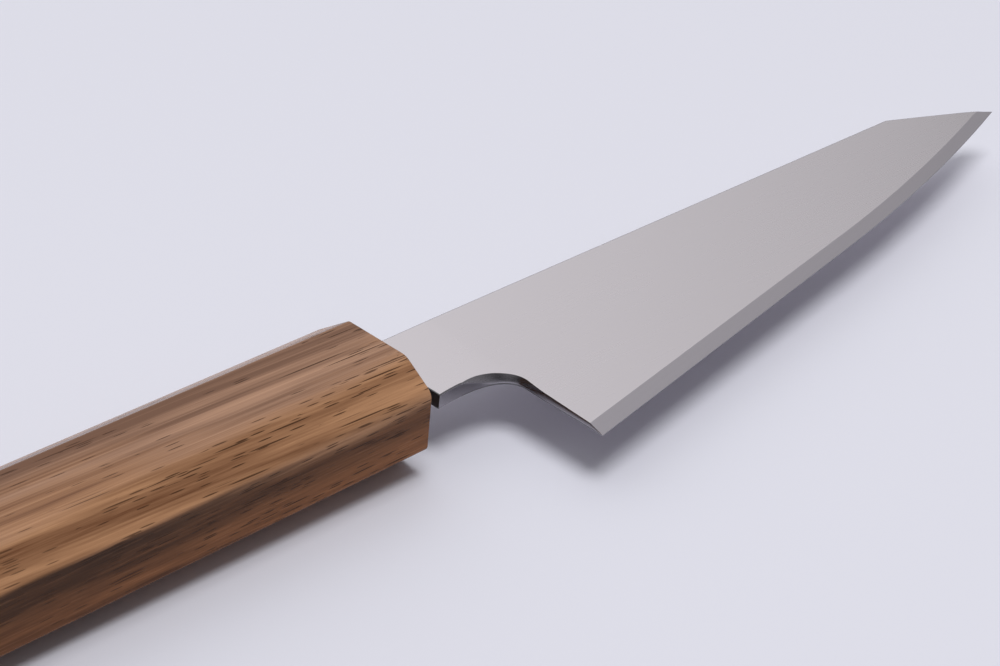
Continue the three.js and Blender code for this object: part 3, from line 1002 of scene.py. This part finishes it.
def wood_grain(start):
    """Layers of the grain: places in millimetres, and noises from -0.5 to 0.5."""
    place = millimetres(start, (0.0, 0.0, FIBRE_TURN))
    sway = stretched_noise(place, SWAY_CELL) - 0.5
    streaks = stretched_noise(place, STREAK_CELL, detail=3.0) - 0.5
    fibres = stretched_noise(place, FIBRE_CELL, detail=3.0) - 0.5
    across = start.vector("MULTIPLY", start.vector("SUBTRACT", place, PITH), (0.0, 1.0, 1.0))
    distance = start.vector("LENGTH", across, output="Value")
    radius = distance + sway * SWAY_REACH + streaks * STREAK_REACH
    ring = radius.maths("FRACT", radius / RING_SPACING)
    early = step_up(ring, *EARLY_START) * step_up(ring, *EARLY_END, 1.0, 0.0)
    warm = step_up(radius, *WARM_RADII, WARM_SHARE, 0.0)
    forward = start.node("ShaderNodeSeparateXYZ", None, {"Vector": place}, "X")
    aside = start.node("ShaderNodeSeparateXYZ", None, {"Vector": place}, "Y")
    where = {"place": place, "radius": radius, "forward": forward, "aside": aside}
    return SimpleNamespace(**where, streaks=streaks, fibres=fibres, early=early, warm=warm)


print("rings are", RING_SPACING, "mm apart, round a middle", -PITH[2], "mm below the table")

# %% Colours of the wood
MIDDLE_TONE = 0.50
PALER_TO_FRONT = 0.0028  # for each millimetre
STREAK_TONE = 1.8
EARLY_TONE = 0.16
DARK_START, DARK_END, DARK_TONE = (3.6, 5.8), (9.0, 12.0), 0.46  # a streak towards the spine's side
RED_RADII, RED_SHARE = (54.5, 58.0), 0.9  # red wood fades out between these distances
HEART_START, HEART_END = (49.5, 54.5), (56.5, 58.0)  # the dark band fades in and out between these
HEART_SHARE, HEART_TONE = 0.92, 0.4  # pale streaks take up less of it
HEART_FADE, HEART_AT_FRONT = (10.0, 65.0), 0.7  # and it is fainter at the front
wood_brown = (0.170, 0.084, 0.050, 1.0)
wood_tan = (0.430, 0.245, 0.155, 1.0)
wood_rust = (0.170, 0.070, 0.032, 1.0)
wood_orange = (0.540, 0.285, 0.145, 1.0)
wood_umber = (0.100, 0.038, 0.016, 1.0)
wood_red = (0.330, 0.130, 0.050, 1.0)
wood_heart = (0.048, 0.021, 0.010, 1.0)
pore_colour = (0.045, 0.018, 0.008, 1.0)


def wood_tone(grain):
    """How pale the wood is, from 0 to 1."""
    dark_streak = step_up(grain.aside + grain.streaks * STREAK_REACH, *DARK_START, 0.0, DARK_TONE)
    dark_streak = dark_streak * step_up(grain.aside, *DARK_END, 1.0, 0.0)
    tone = MIDDLE_TONE + grain.forward * PALER_TO_FRONT - dark_streak
    tone = tone + grain.streaks * STREAK_TONE + grain.fibres - grain.early * EARLY_TONE
    return limited(tone)


def wood_colour(start, grain):
    tone = wood_tone(grain)
    colour = mix_colours(start, tone, wood_brown, wood_tan)
    orange = mix_colours(start, tone, wood_rust, wood_orange)
    colour = mix_colours(start, grain.warm, colour, orange)
    red = mix_colours(start, tone, wood_umber, wood_red)
    colour = mix_colours(start, step_up(grain.radius, *RED_RADII, RED_SHARE, 0.0), colour, red)
    heart = step_up(grain.radius, *HEART_START) * step_up(grain.radius, *HEART_END, 1.0, 0.0)
    heart = heart * step_up(grain.forward, *HEART_FADE, 1.0, HEART_AT_FRONT)
    return mix_colours(start, heart * (HEART_SHARE - tone * HEART_TONE), colour, wood_heart)


print("the dark streak starts", DARK_START[0], "mm from the middle of the handle")

# %% Pores of the wood
PORE_CELL = (6.5, 0.42, 0.42)
VESSEL_CELL, VESSEL_SHARE = (26.0, 0.50, 0.50), 0.7
PORE_REACH = (0.20, 0.33)  # from the middle of a dash to where it fades and where it ends, in cells
CROWD_CELL, CROWD_SHIFT = (50.0, 4.0, 4.0), (7.0, 0.0, 0.0)  # patches where pores crowd
CROWD_START, CROWD_SHARE = (0.48, 0.66), 0.8
FEWEST_PORES = 0.08  # share of the cells that have a pore everywhere
WARM_PORES, EARLY_PORES = 0.22, 0.40  # more of them in orange wood, and where a ring of it begins
PORES_FADE, PORES_AT_BUTT = (-20.0, 55.0), 0.4  # and fewer towards the butt


def dashes(place, cell, share):
    """Thin dashes along the fibres: at most one in each cell, and only in this share of the cells."""
    scale = tuple(1.0 / length for length in cell)
    cells = place.node("ShaderNodeMapping", {"vector_type": "POINT"}, {"Vector": place, "Scale": scale})
    inputs = {"Vector": cells, "Scale": 1.0}
    reach = place.node("ShaderNodeTexVoronoi", {"feature": "F1"}, inputs, "Distance")
    cell_colour = Wire(place.tree, reach.socket.node.outputs["Color"])
    chance = place.node("ShaderNodeSeparateColor", None, {"Color": cell_colour}, "Red")
    return step_up(reach, *PORE_REACH, 1.0, 0.0) * (share > chance)


def wood_pores(grain):
    crowd = stretched_noise(grain.place, CROWD_CELL, detail=1.0, shift=CROWD_SHIFT)
    share = FEWEST_PORES + grain.warm * (WARM_PORES + grain.early * EARLY_PORES)
    share = share + step_up(crowd, *CROWD_START, 0.0, CROWD_SHARE)
    share = share * step_up(grain.forward, *PORES_FADE, PORES_AT_BUTT, 1.0)
    pores = dashes(grain.place, PORE_CELL, share)
    vessels = dashes(grain.place, VESSEL_CELL, share * VESSEL_SHARE)
    return pores.maths("MAXIMUM", pores, vessels)


print("longest pore, mm:", round(2 * PORE_REACH[1] * VESSEL_CELL[0], 1))

# %% Wood finish
PORE_DARK, PORE_DARK_FADE = (0.5, 0.82), (-40.0, 35.0)  # pores are darker towards the front
WEAR_AND_HIGHLIGHT_SHARE = 0.10  # how much paler the eased arrises are made: partly rubbed wear, partly a painted highlight
END_FACING, END_GRAIN_AND_SHADE_SHARE = (0.6, 0.95), 0.6  # end grain, by the X of its normal: its own darker colour, darkened further as painted shade on the ends
FIBRE_RELIEF = 0.02  # height of the fibres against the depth of a pore
PORE_DEPTH, PORE_STRENGTH = 0.1 * MM, 0.2
WOOD_ROUGHNESS, PORE_ROUGHNESS, FIBRE_ROUGHNESS = 0.26, 0.25, 0.1
WOOD_SPECULAR = 0.12


def wood_finish(finish):
    start = new_finish(finish)
    grain = wood_grain(start)
    pores = wood_pores(grain)
    pore_tone = pores * step_up(grain.forward, *PORE_DARK_FADE, *PORE_DARK)
    colour = mix_colours(start, pore_tone, wood_colour(start, grain), pore_colour)
    # paler arrises: partly rubbed wear, partly a painted highlight where the rounding catches the light
    wear_and_highlight = start.node("ShaderNodeAttribute", {"attribute_name": "eased"}, None, "Fac")
    colour = mix_colours(start, wear_and_highlight * WEAR_AND_HIGHLIGHT_SHARE, colour, wood_tan)
    # darker ends: the end grain's own colour, darkened further as painted shade
    normal = start.node("ShaderNodeNewGeometry", None, None, "Normal")
    endways = start.node("ShaderNodeSeparateXYZ", None, {"Vector": normal}, "X")
    end_grain_and_shade = step_up(endways.maths("ABSOLUTE", endways), *END_FACING, 0.0, END_GRAIN_AND_SHADE_SHARE)
    colour = mix_colours(start, end_grain_and_shade, colour, wood_heart)
    relief = bump(start, grain.fibres * FIBRE_RELIEF - pores, PORE_STRENGTH, PORE_DEPTH)
    roughness = WOOD_ROUGHNESS + pores * PORE_ROUGHNESS + grain.fibres * FIBRE_ROUGHNESS
    shine = {"Roughness": roughness, "Specular_IOR_Level": WOOD_SPECULAR}
    finish_with(start, Base_Color=colour, Normal=relief, **shine)
    print(finish.name, "has", len(finish.node_tree.nodes), "nodes")


wood_finish(wood)

# %% [markdown]
# ## Resin
# The resin round the tang shows only at the mouth of the slot. Its solid has the right shape, so it stays
# and just gets a finish: dark, slightly satin, and a little uneven where it cured.

# %% Resin finish
MOTTLE_CELL = (3.0, 3.0, 3.0)
MOTTLE_STRENGTH, MOTTLE_DEPTH = 0.2, 0.1 * MM
RESIN_ROUGHNESS, MOTTLE_ROUGHNESS = 0.32, 0.2
resin_dark = (0.018, 0.013, 0.010, 1.0)
resin_pale = (0.040, 0.030, 0.023, 1.0)
resin = bpy.data.materials.new("resin_finish")


def resin_finish(finish):
    start = new_finish(finish)
    mottle = stretched_noise(millimetres(start), MOTTLE_CELL, detail=3.0)
    colour = mix_colours(start, mottle, resin_dark, resin_pale)
    relief = bump(start, mottle, MOTTLE_STRENGTH, MOTTLE_DEPTH)
    rough = RESIN_ROUGHNESS + mottle * MOTTLE_ROUGHNESS
    finish_with(start, Base_Color=colour, Roughness=rough, Normal=relief)
    print(finish.name, "has", len(finish.node_tree.nodes), "nodes")


resin_finish(resin)
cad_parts["tang_adhesive"].data.materials.clear()
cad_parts["tang_adhesive"].data.materials.append(resin)

# %% [markdown]
# ## Floor and light
# The knife lies on a plain pale table. Steel shows what surrounds it more than its own colour, so the light
# matters as much as the finish. A broad lamp overhead gives the soft, short shadows, and is hidden from
# reflections, because the blade would mirror it as a white blot. What the steel mirrors is the world: a dim
# room with a glow beyond the knife, which the blade's face shows, and weaker ones round about, one of them
# low down for the wall of the choil. A picture of a real room could do this, but a few soft glows can be
# aimed. The camera itself sees a plain pale backdrop.

# %% Floor
FLOOR_SIDE = 8.0
FLOOR_DROP = 0.05 * MM
FLOOR_COLOUR = (0.76, 0.76, 0.84, 1.0)
FLOOR_ROUGHNESS = 0.6
floor_mesh = bpy.data.meshes.new("floor")
half = FLOOR_SIDE / 2
corners = (-half, -half), (half, -half), (half, half), (-half, half)
floor_corners = [(x, y, cad_low.z - FLOOR_DROP) for x, y in corners]
floor_mesh.from_pydata(floor_corners, [], [(0, 1, 2, 3)])
floor = bpy.data.objects.new("floor", floor_mesh)
bpy.context.scene.collection.objects.link(floor)
floor_finish = bpy.data.materials.new("pale_table")
finish_with(new_finish(floor_finish), Base_Color=FLOOR_COLOUR, Roughness=FLOOR_ROUGHNESS)
floor_mesh.materials.append(floor_finish)
print("floor lies", FLOOR_DROP / MM, "mm under the handle")

# %% Lamp
LAMP_AIM = Vector((80.0, 0.0, 0.0)) * MM
LAMP_FROM = Vector((0.03, -0.10, 1.0)).normalized()
LAMP_DISTANCE = 2.6
LAMP_WIDTH = 1.55
LAMP_POWER = 40.0
lamp_data = bpy.data.lights.new("lamp", "AREA")
lamp_data.shape = "DISK"
lamp_data.size = LAMP_WIDTH
lamp_data.energy = LAMP_POWER
lamp = bpy.data.objects.new("lamp", lamp_data)
lamp_turn = LAMP_FROM.to_track_quat("Z", "Y").to_matrix().to_4x4()
lamp.matrix_world = Matrix.Translation(LAMP_AIM + LAMP_FROM * LAMP_DISTANCE) @ lamp_turn
lamp.visible_glossy = False
bpy.context.scene.collection.objects.link(lamp)
print("lamp of", LAMP_POWER, "W,", LAMP_DISTANCE, "m above the knife")

# %% Room
ROOM_COLOUR = (0.98, 0.98, 1.0, 1.0)
ROOM_STRENGTH = 0.03  # where there is no glow
BACKDROP_COLOUR = (0.69, 0.69, 0.77, 1.0)
# A glow has a direction, the cosines of the angles where it has faded out and is full, and a strength.
glows = {
    "beyond the knife": ((0.25, 0.72, 0.65), math.cos(math.radians(43)), math.cos(math.radians(23)), 0.42),
    "wide round that": ((0.25, 0.72, 0.65), 0.25, 0.90, 0.31),
    "high beyond the handle": ((-0.11, 0.63, 0.77), 0.6, 0.95, 0.3),
    "high over the near side": ((-0.45, -0.50, 0.74), 0.65, 0.98, 0.25),
    "low on the edge's side": ((0.82, -0.57, -0.18), 0.35, 0.98, 0.38),
}


def light_room(world):
    world.use_nodes = True
    world.node_tree.nodes.clear()
    start = Wire(world.node_tree)
    way = start.node("ShaderNodeTexCoord", None, None, "Generated")
    strength = ROOM_STRENGTH
    for direction, faded, full, brightness in glows.values():
        facing = start.vector("DOT_PRODUCT", way, Vector(direction).normalized(), output="Value")
        strength = strength + step_up(facing, faded, full, 0.0, brightness)
    seen = start.node("ShaderNodeLightPath", None, None, "Is Camera Ray")
    lit = start.node("ShaderNodeBackground", None, {"Color": ROOM_COLOUR, "Strength": strength})
    backdrop = start.node("ShaderNodeBackground", None, {"Color": BACKDROP_COLOUR, "Strength": 1.0})
    mixed = start.node("ShaderNodeMixShader", None, {0: seen, 1: lit, 2: backdrop})
    start.node("ShaderNodeOutputWorld", None, {"Surface": mixed})


room = bpy.data.worlds.new("room")
light_room(room)
bpy.context.scene.world = room
bpy.context.scene.view_settings.view_transform = "Standard"
print("room with", len(glows), "glows:", ", ".join(glows))
